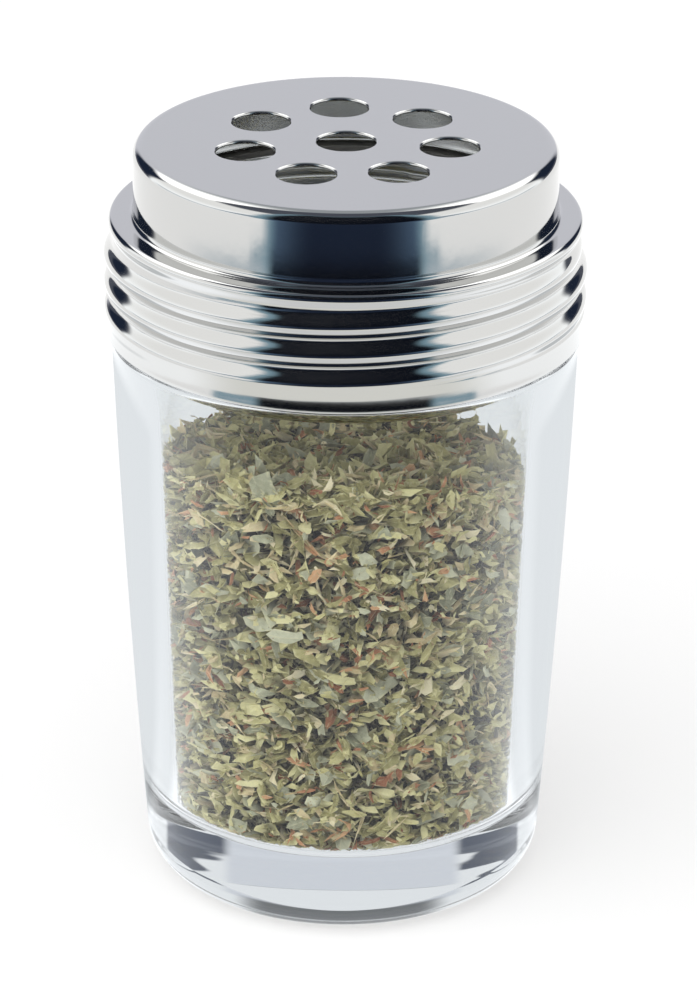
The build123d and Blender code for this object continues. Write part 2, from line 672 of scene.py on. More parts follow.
def ring_rows(outline: Array, segments: int, shape: Shape | None = None) -> Array:
    """Turn an outline about the Z axis.

    Args:
        outline: The (radius, height) rows in millimetres.
        segments: The number of points in each ring.
        shape: What makes a point's radius from its base radius, height and angle in degrees.

    Returns:
        The rings' points in metres, by row and segment.
    """
    angles = np.arange(segments) * 360.0 / segments
    radii, turned = np.meshgrid(outline[:, 0], angles, indexing="ij")
    heights = np.repeat(outline[:, 1:], segments, axis=1)
    if shape:
        radii = shape(radii, heights, turned)
    return np.stack((*polar(radii, np.radians(turned)), heights), -1) * MM


class MeshMaker:
    """Collects rings and patches, and makes one smooth mesh object of them."""

    def __init__(self, name: str) -> None:
        """Start an empty mesh.

        Args:
            name: The piece's name.
        """
        self.name = name
        self.mesh = bmesh.new()

    def rings(self, rows: Array, slot: int = 0) -> list[list[bmesh.types.BMVert]]:
        """Add rings of points and the faces between neighbouring rings.

        Args:
            rows: The points, by row and segment.
            slot: The faces' material slot.

        Returns:
            The vertices, by row.
        """
        made = [[self.mesh.verts.new(point) for point in row] for row in rows]
        for low, high in zip(made, made[1:]):
            self.bridge(low, high, slot)
        return made

    def bridge(self, low: list, high: list, slot: int = 0) -> None:
        """Join two rings of as many points with faces.

        Args:
            low: One ring's vertices.
            high: The other's.
            slot: The faces' material slot.
        """
        for index in range(len(low)):
            after = (index + 1) % len(low)
            face = self.mesh.faces.new((low[index], low[after], high[after], high[index]))
            face.material_index = slot

    def cap(self, ring: list, height: float, slot: int = 0) -> None:
        """Close a ring with a fan around a point on the axis.

        Args:
            ring: The ring's vertices.
            height: The point's height in millimetres.
            slot: The faces' material slot.
        """
        middle = self.mesh.verts.new((0.0, 0.0, height * MM))
        for index, vertex in enumerate(ring):
            face = self.mesh.faces.new((vertex, ring[(index + 1) % len(ring)], middle))
            face.material_index = slot

    def plate(self, rim: list, holes: Sequence[list], slot: int = 0) -> None:
        """Fill the flat space between a rim and the holes in it.

        Args:
            rim: The rim's vertices.
            holes: Each hole's vertices.
            slot: The faces' material slot.
        """
        edges = []
        for ring in (rim, *holes):
            pairs = zip(ring, ring[1:] + ring[:1])
            edges += [self.mesh.edges.get(pair) or self.mesh.edges.new(pair) for pair in pairs]
        made = bmesh.ops.triangle_fill(self.mesh, use_beauty=True, edges=edges)
        for item in made["geom"]:
            if isinstance(item, bmesh.types.BMFace):
                item.material_index = slot

    def finish(self, materials: Sequence[bpy.types.Material]) -> bpy.types.Object:
        """Make the object, smooth shaded, with its faces turned outwards.

        Args:
            materials: The material of each slot.

        Returns:
            The object.
        """
        bmesh.ops.recalc_face_normals(self.mesh, faces=self.mesh.faces)
        for face in self.mesh.faces:
            face.smooth = True
        data = bpy.data.meshes.new(self.name)
        self.mesh.to_mesh(data)
        self.mesh.free()
        for material in materials:
            data.materials.append(material)
        return show(bpy.data.objects.new(self.name, data))


def show(piece: bpy.types.Object) -> bpy.types.Object:
    """Link an object into the scene.

    Args:
        piece: The object.

    Returns:
        The same object.
    """
    bpy.context.scene.collection.objects.link(piece)
    return piece


# ---- The jar ----


@dataclass
class GlassJar:
    """The thick tapered jar, with its threaded neck and the hollow for the herbs."""

    segments: int = 256
    base_radius: float = 27.75
    base_rounding: float = 6.0
    waist_radius: float = 30.45
    waist_height: float = 41.0
    shoulder_radius: float = 32.2
    shoulder_height: float = 80.9
    shoulder_rounding: float = 0.8
    recess_radius: float = 18.5
    recess_depth: float = 1.9
    recess_slope: float = 2.0
    recess_rounding: float = 1.5
    recess_lip_rounding: float = 0.8
    floor_height: float = 11.2
    floor_rounding: float = 2.8
    floor_radius: float = 23.75
    mouth_radius: float = 26.15
    mouth_foot: float = 76.4
    mouth_foot_rounding: float = 60.0
    neck_radius: float = 30.6
    lip_height: float = 96.6
    lip_rounding: float = 0.9
    neck_cove: float = 0.5
    wall_rows: int = 18
    wall_start: float = 13.0
    wall_margin: float = 5.0
    neck_start: float = 82.2
    neck_end: float = 95.2
    neck_step: float = 0.3
    hollow_start: float = 20.0
    hollow_margin: float = 3.0
    mouth_rows: int = 6
    thread: Thread = Thread(30.9, 0.95, -720.0, -180.0, 94.5, fade=40.0)
    thread_above_shoulder: float = 0.8
    thread_below_lip: float = 1.0

    def wall_radius(self, heights: Array) -> Array:
        """The outer wall's radius at given heights.

        Args:
            heights: The heights in millimetres.

        Returns:
            The radius at each height.
        """
        foot = Corner(self.base_radius, 0.0)
        waist = Corner(self.waist_radius, self.waist_height)
        shoulder = Corner(self.shoulder_radius, self.shoulder_height)
        return arc_radius(heights, foot, waist, shoulder)

    def outside(self) -> Array:
        """The outline from the recess under the base, up the wall and over the lip.

        Returns:
            The (radius, height) rows.
        """
        wall_end = self.shoulder_height - self.wall_margin
        wall = [
            Corner(float(self.wall_radius(np.array(height))), float(height))
            for height in np.linspace(self.wall_start, wall_end, self.wall_rows)
        ]
        neck_heights = np.arange(self.neck_start, self.neck_end, self.neck_step)
        neck = [Corner(self.neck_radius, float(height)) for height in neck_heights]
        corners = [
            Corner(AXIS_GAP, self.recess_depth),
            Corner(self.recess_radius, self.recess_depth, self.recess_rounding),
            Corner(self.recess_radius + self.recess_slope, 0.0, self.recess_lip_rounding),
            Corner(self.base_radius, 0.0, self.base_rounding),
            *wall,
            Corner(self.shoulder_radius, self.shoulder_height, self.shoulder_rounding),
            Corner(self.neck_radius, self.shoulder_height, self.neck_cove),
            *neck,
            Corner(self.neck_radius, self.lip_height, self.lip_rounding),
            Corner((self.neck_radius + self.mouth_radius) / 2, self.lip_height),
        ]
        return rounded_outline(corners)

    def inside(self) -> Array:
        """The outline from the lip down the inner wall to the middle of the floor.

        Returns:
            The (radius, height) rows.
        """
        slope = (self.mouth_radius - self.floor_radius) / (self.mouth_foot - self.floor_height)
        margin = self.hollow_margin
        wall = [
            Corner(self.floor_radius + slope * (float(height) - self.floor_height), float(height))
            for height in np.linspace(self.mouth_foot - margin, self.hollow_start, self.wall_rows)
        ]
        neck = [
            Corner(self.mouth_radius, float(height))
            for height in np.linspace(self.lip_height - margin, self.mouth_foot + margin, self.mouth_rows)
        ]
        corners = [
            Corner((self.neck_radius + self.mouth_radius) / 2, self.lip_height),
            Corner(self.mouth_radius, self.lip_height, self.lip_rounding),
            *neck,
            Corner(self.mouth_radius, self.mouth_foot, self.mouth_foot_rounding),
            *wall,
            Corner(self.floor_radius, self.floor_height, self.floor_rounding),
            Corner(AXIS_GAP, self.floor_height),
        ]
        return rounded_outline(corners)

    def hollow_radius(self, heights: Array) -> Array:
        """The hollow's radius at given heights."""
        rows = self.inside()[1:-1][::-1]
        return np.interp(heights, rows[:, 1], rows[:, 0])

    def with_thread(self, radii: Array, heights: Array, angles: Array) -> Array:
        """The outer radii, with the ridge added on the neck.

        Args:
            radii: The plain wall's radii.
            heights: The points' heights.
            angles: Their angles in degrees.

        Returns:
            The radius at each point.
        """
        above_shoulder = heights > self.shoulder_height + self.thread_above_shoulder
        on_neck = above_shoulder & (heights < self.lip_height - self.thread_below_lip)
        return np.where(on_neck, self.thread.radius(radii, heights, angles), radii)

    def build(self) -> bpy.types.Object:
        """Make the jar, riding on the jar's body.

        Returns:
            The jar.
        """
        maker = MeshMaker("glass_body")
        outer = maker.rings(ring_rows(self.outside()[1:], self.segments, self.with_thread))
        inner = maker.rings(ring_rows(self.inside()[1:-1], self.segments))
        maker.bridge(outer[-1], inner[0])
        maker.cap(outer[0], self.recess_depth)
        maker.cap(inner[-1], self.floor_height)
        jar = maker.finish([ClearGlass().material()])
        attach(jar, "jar")
        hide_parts("glass_jar")
        return jar


# ---- The lid ----


class LidFace(IntEnum):
    """The parts of the lid's surface, in the order of its material slots."""

    TOP = 0
    OUTSIDE = 1
    PUNCHED = 2
    INSIDE = 3


SOFTENER = np.hanning(5)[1:-1]


@dataclass
class ScrewLid:
    """The pressed steel lid: drum with pour holes, ledge, ribbed skirt and curled edge."""

    segments: int = 288
    hole_segments: int = 64
    total_height: float = 108.0
    sheet: float = 0.5
    drum_radius: float = 29.0
    drum_rounding: float = 1.75
    ledge_height: float = 98.0
    ledge_radius: float = 32.4
    ledge_rounding: float = 0.8
    foot_cove: float = 0.8
    skirt_radius: float = 32.05
    roll_bottom: float = 97.0
    skirt_top: float = 96.2
    flare_top: float = 85.8
    band_top: float = 85.0
    band_foot: float = 81.95
    band_swell: float = 0.05
    band_radius: float = 33.0
    bottom: float = 81.6
    curl_radius: float = 32.05
    curl_height: float = 0.95
    curl_rounding: float = 0.25
    edge_rounding: float = 0.1
    hole_radius: float = 4.0
    hole_ring_radius: float = 14.2
    holes_in_ring: int = 7
    first_hole_angle: float = 94.0
    hole_rounding: float = 0.4
    row_step: float = 0.2
    thread: RolledRib = RolledRib(31.585, 1.515, -960.0, 15.0, 94.6)

    def skirt(self, inset: float, step: float) -> list[Corner]:
        """The plain skirt from under the ledge's roll to the band, before the ribs.

        Args:
            inset: How far inside the outer surface it lies.
            step: The height between its rows.

        Returns:
            Its corners, from the top.
        """
        rows = np.arange(self.roll_bottom, self.band_foot, -step)
        band = self.band_radius - self.band_swell
        heights = (self.band_top, self.flare_top, self.skirt_top, self.roll_bottom)
        radii = (band, self.skirt_radius, self.skirt_radius, self.ledge_radius)
        plain = np.interp(rows, heights, radii)
        down = np.clip((self.band_top - rows) / (self.band_top - self.band_foot), 0.0, 1.0)
        plain += self.band_swell * down**3
        padded = np.pad(plain, len(SOFTENER) // 2, mode="edge")
        soft = np.convolve(padded, SOFTENER / SOFTENER.sum(), mode="valid")
        return [Corner(float(r) - inset, float(z)) for r, z in zip(soft, rows)]

    def outside(self) -> Array:
        """The outer outline, from the edge of the flat top to the curled edge.

        Returns:
            The (radius, height) rows.
        """
        corners = [
            Corner(self.drum_radius - self.drum_rounding - 2 * SUPPORT, self.total_height),
            Corner(self.drum_radius, self.total_height, self.drum_rounding),
            Corner(self.drum_radius, self.ledge_height, self.foot_cove),
            Corner(self.ledge_radius, self.ledge_height, self.ledge_rounding),
            *self.skirt(0.0, self.row_step),
            Corner(self.band_radius, self.bottom, self.curl_rounding),
            Corner(self.curl_radius, self.bottom, self.curl_rounding),
            Corner(self.curl_radius, self.bottom + self.curl_height, self.edge_rounding),
            Corner(self.band_radius - self.sheet, self.bottom + self.curl_height),
        ]
        return rounded_outline(corners)

    def inside(self) -> Array:
        """The inner outline, from the curled edge to the underside of the flat top.

        Returns:
            The (radius, height) rows.
        """
        upper = self.ledge_height - self.sheet
        inner_drum = self.drum_radius - self.sheet
        corners = [
            Corner(self.band_radius - self.sheet, self.bottom + self.curl_height),
            *reversed(self.skirt(self.sheet, 2 * self.row_step)),
            Corner(self.ledge_radius - self.sheet, upper, self.ledge_rounding - self.sheet),
            Corner(inner_drum, upper, self.foot_cove + self.sheet),
            Corner(inner_drum, self.total_height - self.sheet, self.drum_rounding - self.sheet),
            Corner(inner_drum - self.drum_rounding - 2 * SUPPORT, self.total_height - self.sheet),
        ]
        return rounded_outline(corners)

    def with_ribs(self, inset: float) -> Shape:
        """What adds the rolled ribs to the skirt.

        Args:
            inset: How far inside the outer surface the rows lie.

        Returns:
            The function for ring_rows.
        """

        def ribbed(radii: Array, heights: Array, angles: Array) -> Array:
            """The radii with the ribs on them, between the roll and the band's foot."""
            on_skirt = (heights < self.roll_bottom) & (heights > self.band_foot)
            ribs = self.thread.radius(radii + inset, heights, angles) - inset
            return np.where(on_skirt, ribs, radii)

        return ribbed

    def hole_centres(self) -> list[tuple[float, float]]:
        """The middles of the pour holes, the middle hole first.

        Returns:
            The x and y of each, in millimetres.
        """
        centres = [(0.0, 0.0)]
        for index in range(self.holes_in_ring):
            angle = math.radians(self.first_hole_angle - index * 360.0 / self.holes_in_ring)
            x, y = math.cos(angle), math.sin(angle)
            centres.append((self.hole_ring_radius * x, self.hole_ring_radius * y))
        return centres

    def hole_outline(self) -> Array:
        """A pour hole's edge, from the flat top through the sheet to the underside.

        Returns:
            The (radius, height) rows about the hole's middle.
        """
        under = self.total_height - self.sheet
        outer = self.hole_radius + self.hole_rounding + SUPPORT
        corners = [
            Corner(outer, self.total_height),
            Corner(self.hole_radius, self.total_height, self.hole_rounding),
            Corner(self.hole_radius, under, self.edge_rounding),
            Corner(outer, under),
        ]
        return rounded_outline(corners)

    def build(self) -> bpy.types.Object:
        """Make the lid, riding on the lid's body.

        Returns:
            The lid.
        """
        maker = MeshMaker("steel_lid")
        outer_rows = ring_rows(self.outside(), self.segments, self.with_ribs(0.0))
        inner_rows = ring_rows(self.inside()[1:], self.segments, self.with_ribs(self.sheet))
        outer = maker.rings(outer_rows, LidFace.OUTSIDE)
        inner = maker.rings(inner_rows, LidFace.INSIDE)
        maker.bridge(outer[-1], inner[0], LidFace.INSIDE)
        tops, undersides = [], []
        for x, y in self.hole_centres():
            rows = ring_rows(self.hole_outline(), self.hole_segments) + np.array((x, y, 0.0)) * MM
            edge = maker.rings(rows, LidFace.PUNCHED)
            tops.append(edge[0])
            undersides.append(edge[-1])
        maker.plate(outer[0], tops, LidFace.TOP)
        maker.plate(inner[-1], undersides, LidFace.INSIDE)
        satin = {"satin_roughness": 0.16, "satin_inside": self.drum_radius - self.drum_rounding}
        lid = maker.finish([
            Steel("satin_steel", roughness=0.16, **satin).material(),
            Steel("polished_steel", **satin).material(),
            Steel("punched_steel", roughness=0.1, roughness_spread=0.06).material(),
            Steel("drawn_steel", roughness=0.14, grain_stretch=(1.0, 1.0, 0.1)).material(),
        ])
        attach(lid, "lid")
        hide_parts("screw_lid")
        return lid


# ---- The herbs ----


FLAKE_COLUMNS = 4
FLAKE_ROWS = 3


@dataclass
class FlakeBatch:
    """One kind of flake: how many there are, and how large and bent they are."""

    name: str
    herb: Herb
    share: float
    length: tuple[float, float]
    slimness: tuple[float, float]
    fold: float = 0.75
    curl: float = 1.0


@dataclass(frozen=True)
class Tearing:
    """How unevenly a flake is torn and bent, in shares of its length or width."""

    size: Span = (0.75, 1.0)
    length: float = 0.9
    length_spread: float = 0.09
    width: Span = (0.65, 1.15)
    bluntness: Span = (0.0, 0.85)
    width_spread: float = 0.06
    end: float = 0.4
    twist: float = 0.5
    crumple: float = 0.03


@dataclass
class HerbHeap:
    """The dried herbs: a core painted near-black as shade, and layers of loose flakes against the glass and
    on top, painted darker the deeper they lie.
    """

    jar: GlassJar
    wall_gap: float = 0.12
    layer: float = 2.8
    middle_height: float = 63.4
    slope: float = 0.125
    hollow: float = 0.003
    side_fall: float = 0.0005
    lean: float = 0.045
    # lit_depth, burial, burial_curve and loose_top: where painted shade starts below the heap's surface, and
    # how fast it darkens the flakes.
    lit_depth: float = 0.4
    burial: float = 2.1
    crowding: float = 1.3
    burial_curve: float = 1.3
    loose_top: float = 0.3
    side_flakes: int = 13500
    side_radius: float = 25.0
    side_heights: Span = (0.01, 1.0)
    side_tilt: float = 0.45
    deep_tilt: float = 0.2
    top_flakes: int = 3600
    top_radius: float = 25.6
    top_sink: Span = (-0.25, 1.0)
    top_tilt: float = 0.8
    floor_flakes: int = 1500
    floor_margin: float = 1.0
    floor_lift: float = 0.1
    floor_layer: float = 0.8
    floor_tilt: float = 0.3
    lying: tuple[float, float, float] = (1.0, 1.0, 0.45)
    push: float = 1.08
    least_radius: float = 0.1
    large_lump: float = 0.6
    large_waves: Span = (0.31, 0.27)
    large_offset: float = 1.0
    small_lump: float = 0.4
    small_waves: Span = (0.83, 0.59)
    core_foot: float = 0.5
    core_drop: float = 6.0
    core_sink: float = 0.8
    core_rows: int = 24
    core_rings: int = 12
    core_middle: float = 0.05
    segments: int = 96
    tearing: Tearing = Tearing()

    batches: tuple[FlakeBatch, ...] = (
        FlakeBatch("olive_flakes", Herb.OLIVE, 0.44, (1.9, 4.9), (0.26, 0.62)),
        FlakeBatch("olive_crumbs", Herb.OLIVE, 0.16, (0.9, 2.2), (0.35, 0.85)),
        FlakeBatch("straw_flakes", Herb.STRAW, 0.16, (1.6, 4.4), (0.22, 0.50)),
        FlakeBatch("sage_flakes", Herb.SAGE, 0.09, (2.0, 5.2), (0.35, 0.75), 0.35, 0.40),
        FlakeBatch("sage_leaves", Herb.SAGE, 0.005, (5.5, 7.5), (0.60, 0.80), 0.12, 0.12),
        FlakeBatch("russet_flakes", Herb.RUSSET, 0.085, (1.4, 4.2), (0.18, 0.50)),
        FlakeBatch("stem_bits", Herb.STRAW, 0.06, (3.5, 8.0), (0.05, 0.10), 0.9, 0.16),
    )

    def level(self, x: Array, y: Array) -> Array:
        """The heap's height over points in the jar.

        Args:
            x: The points' x in millimetres.
            y: Their y.

        Returns:
            The height at each, in millimetres.
        """
        long_x, long_y = self.large_waves
        short_x, short_y = self.small_waves
        lumps = self.large_lump * np.sin(x * long_x + self.large_offset) * np.cos(y * long_y)
        lumps = lumps + self.small_lump * np.sin(x * short_x - y * short_y)
        bank = self.slope * y + self.lean * x - self.hollow * y * y + self.side_fall * x * x
        return self.middle_height - bank + lumps

    def core(self) -> bpy.types.Object:
        """Make the dark mass behind the flakes, painted near-black as the shade inside the heap.

        Returns:
            The core.
        """
        maker = MeshMaker("herb_core")
        low = self.jar.floor_height + self.layer * self.core_foot
        sink = self.layer * self.core_sink
        heights = np.linspace(low, self.middle_height - self.core_drop, self.core_rows)
        radii = self.jar.hollow_radius(heights) - self.layer
        rows = [ring_rows(np.column_stack((radii, heights)), self.segments)]
        angles = np.arange(self.segments) * 2 * math.pi / self.segments
        for share in np.linspace(1.0, self.core_middle, self.core_rings):
            x, y = polar(share * radii[-1], angles)
            rows.append(np.stack((x, y, self.level(x, y) - sink), -1)[None] * MM)
        made = maker.rings(np.concatenate(rows))
        maker.cap(made[0], low)
        maker.cap(made[-1], float(self.level(np.array(0.0), np.array(0.0))) - sink)
        return maker.finish([Herb.SHADED_CORE.value.material()])

    def spots(self, rng: np.random.Generator) -> tuple[Array, Array, Array]:
        """Where the flakes lie.

        Args:
            rng: The random numbers.

        Returns:
            The flakes' middles, the directions that they face, and how far they may tilt.
        """
        floor = self.jar.floor_height
        turn = rng.uniform(0, 2 * math.pi, self.side_flakes)
        depth = self.layer * rng.uniform(0, 1, self.side_flakes) ** self.crowding
        room = self.level(*polar(self.side_radius, turn)) - floor
        z = floor + rng.uniform(*self.side_heights, self.side_flakes) * room
        radius = self.jar.hollow_radius(z) - self.wall_gap - depth
        side = np.column_stack((*polar(radius, turn), z))
        out = np.column_stack((*polar(1.0, turn), np.zeros_like(turn)))

        turn = rng.uniform(0, 2 * math.pi, self.top_flakes)
        radius = self.top_radius * np.sqrt(rng.uniform(0, 1, self.top_flakes))
        x, y = polar(radius, turn)
        sink = self.layer * rng.uniform(*self.top_sink, self.top_flakes)
        top = np.column_stack((x, y, self.level(x, y) - sink))
        up = np.tile((0.0, 0.0, 1.0), (self.top_flakes, 1))

        turn = rng.uniform(0, 2 * math.pi, self.floor_flakes)
        reach = self.jar.floor_radius - self.floor_margin
        radius = reach * np.sqrt(rng.uniform(0, 1, self.floor_flakes))
        height = floor + self.floor_lift + self.floor_layer * rng.uniform(0, 1, self.floor_flakes)
        low = np.column_stack((*polar(radius, turn), height))
        down = np.tile((0.0, 0.0, -1.0), (self.floor_flakes, 1))

        tilts = np.concatenate((
            self.side_tilt + self.deep_tilt * depth,
            np.full(self.top_flakes, self.top_tilt),
            np.full(self.floor_flakes, self.floor_tilt),
        ))
        return np.concatenate((side, top, low)), np.concatenate((out, up, down)), tilts

    def burial_share(self, points: Array) -> Array:
        """How deep points lie in the heap, which sets how much painted shade they get.

        Args:
            points: The points in millimetres.

        Returns:
            From 0 near the glass, the floor or the top, to 1.
        """
        x, y, z = points[..., 0], points[..., 1], points[..., 2]
        from_wall = self.jar.hollow_radius(z) - np.hypot(x, y)
        from_floor = z - self.jar.floor_height
        from_top = self.level(x, y) + self.loose_top * self.layer - z
        depth = np.minimum(np.minimum(from_wall, from_floor), from_top)
        return np.clip((depth - self.lit_depth) / self.burial, 0.0, 1.0) ** self.burial_curve

    def leaves(self, batch: FlakeBatch, count: int, rng: np.random.Generator) -> Array:
        """Flakes at the origin, facing +Z: a folded midrib with a torn edge on each side.

        Args:
            batch: The kind of flake.
            count: The number of flakes.
            rng: The random numbers.

        Returns:
            The points, by flake and vertex.
        """
        torn = self.tearing
        along = np.tile(np.linspace(-0.5, 0.5, FLAKE_COLUMNS), FLAKE_ROWS)
        across = np.repeat(np.linspace(-0.5, 0.5, FLAKE_ROWS), FLAKE_COLUMNS)
        at_end = np.abs(along) > torn.end
        each, every = (count, 1), (count, len(along))
        length = rng.uniform(*batch.length, each) * rng.uniform(*torn.size, each)
        width = length * rng.uniform(*batch.slimness, each)
        x = length * (along * torn.length + rng.normal(0, torn.length_spread, every))
        share = rng.uniform(*torn.width, every)
        blunt = rng.uniform(*torn.bluntness, each)
        edge = across * share * np.where(at_end, blunt, 1.0)
        y = width * (edge + rng.normal(0, torn.width_spread, every))
        fold = batch.fold * rng.normal(0, 1.0, each)
        curl = batch.curl * rng.normal(0, 1.0, each)
        twist = torn.twist * rng.normal(0, 1.0, each)
        z = fold * np.abs(y) + curl * x * x / length + twist * x * y / length
        z += torn.crumple * length * rng.normal(0, 1.0, z.shape)
        return np.stack((x, y, z), -1)

    def settle(self, points: Array) -> Array:
        """Move each flake inside the hollow.

        Args:
            points: The points in millimetres, by flake and vertex.

        Returns:
            The moved points.
        """
        floor = self.jar.floor_height + self.wall_gap
        lift = np.maximum(floor - points[..., 2].min(1), 0.0)
        points = points + lift[:, None, None] * np.array((0.0, 0.0, 1.0))
        radius = np.hypot(points[..., 0], points[..., 1])
        over = (radius - self.jar.hollow_radius(points[..., 2]) + self.wall_gap).max(1)
        middle = points[..., :2].mean(1)
        off_axis = np.linalg.norm(middle, axis=1, keepdims=True)
        outward = middle / np.maximum(off_axis, self.least_radius)
        shift = np.maximum(over, 0.0)[:, None] * outward * self.push
        points[..., :2] -= shift[:, None, :]
        return points

    def scatter(
        self,
        batch: FlakeBatch,
        middles: Array,
        facing: Array,
        tilt: Array,
        rng: np.random.Generator,
    ) -> bpy.types.Object:
        """Make one batch of flakes as an object.

        Args:
            batch: The kind of flake.
            middles: The flakes' middles.
            facing: The directions that they face.
            tilt: How far each may tilt, in radians.
            rng: The random numbers.

        Returns:
            The object.
        """
        count = len(middles)
        normal = facing + tilt[:, None] * rng.normal(0, 1, (count, 3))
        normal /= np.linalg.norm(normal, axis=1, keepdims=True)
        lie = rng.normal(0, 1, (count, 3)) * self.lying
        lie -= (lie * normal).sum(1, keepdims=True) * normal
        lie /= np.linalg.norm(lie, axis=1, keepdims=True)
        axes = np.stack((lie, np.cross(normal, lie), normal), 1)
        turned = np.einsum("nvk,nkj->nvj", self.leaves(batch, count, rng), axes)
        points = self.settle(turned + middles[:, None, :])
        grid = np.arange(FLAKE_ROWS * FLAKE_COLUMNS).reshape(FLAKE_ROWS, FLAKE_COLUMNS)
        corner = grid[:-1, :-1].ravel()
        over = corner + FLAKE_COLUMNS
        shape = np.concatenate((
            np.column_stack((corner, corner + 1, over + 1)),
            np.column_stack((corner, over + 1, over)),
        ))
        faces = (np.arange(count)[:, None, None] * points.shape[1] + shape).reshape(-1, 3)
        data = bpy.data.meshes.new(batch.name)
        data.from_pydata((points.reshape(-1, 3) * MM).tolist(), [], faces.tolist())
        rim = data.attributes.new(RIM, "FLOAT", "POINT")
        rim.data.foreach_set("value", np.tile(np.repeat((1.0, 0.0, 1.0), FLAKE_COLUMNS), count))
        # How deep each point lies, for the painted shade of buried flakes.
        buried = data.attributes.new(BURIED, "FLOAT", "POINT")
        buried.data.foreach_set("value", self.burial_share(points).ravel())
        data.materials.append(batch.herb.value.material())
        return show(bpy.data.objects.new(batch.name, data))

    def build(self) -> list[bpy.types.Object]:
        """Make the core and every batch of flakes, riding on the jar's body.

        Returns:
            The pieces.
        """
        rng = np.random.default_rng(SEED)
        middles, facing, tilt = self.spots(rng)
        order = rng.permutation(len(middles))
        ends = np.cumsum([round(batch.share * len(order)) for batch in self.batches])
        pieces = [self.core()]
        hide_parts("herb_fill")
        for batch, picked in zip(self.batches, np.split(order, ends[:-1])):
            pieces.append(self.scatter(batch, middles[picked], facing[picked], tilt[picked], rng))
        for piece in pieces:
            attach(piece, "jar")
        return pieces


# ---- The seal ----


@dataclass
class SealWasher:
    """The flat washer under the lid's ledge, which keeps its CAD shape."""

    node: str = "seal_ring"

    def dress(self) -> bpy.types.Object:
        """Give the washer its plastic.

        Returns:
            The CAD node.
        """
        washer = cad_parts[self.node]
        washer.data.materials.clear()
        washer.data.materials.append(SealPlastic().material())
        return washer


# ---- The studio ----


@dataclass(frozen=True)
class Patch:
    """A soft-edged patch of the studio: the product of steps in two values.

    The first value is how far a direction or a place lies to the front, from 1 at the front to
    -1 at the back. The second is a direction's height, from 0 at the horizon to 1 overhead, or
    a place's distance in millimetres.
    """

    fronts: tuple[Span, ...]
    others: tuple[Span, ...] = ()

    def share(self, front: Wire, other: Wire) -> Wire:
        """How much of the patch shows.

        Args:
            front: The first value.
            other: The second value.

        Returns:
            From 0 outside the patch to 1 inside it.
        """
        steps = [front.rise(*span) for span in self.fronts]
        steps += [other.rise(*span) for span in self.others]
        return math.prod(steps[1:], start=steps[0])


@dataclass(frozen=True)
class DarkFront:
    """The unlit front of the studio, a little lighter towards its sides."""

    core: Colour = (0.017, 0.026, 0.051)
    edge: Colour = (0.10, 0.16, 0.25)
    feather: Colour = (0.26, 0.41, 0.50)
    inwards: Span = (0.76, 0.97)

    def colour(self, nodes: NodeTree, front: Wire) -> Wire:
        """Its colour, by how far a direction or a place lies to the front."""
        return nodes.blend(front.rise(*self.inwards), self.edge, self.core)


DARK_FRONT = DarkFront()
GLASS_PALE = (0.745, 0.775, 0.80)


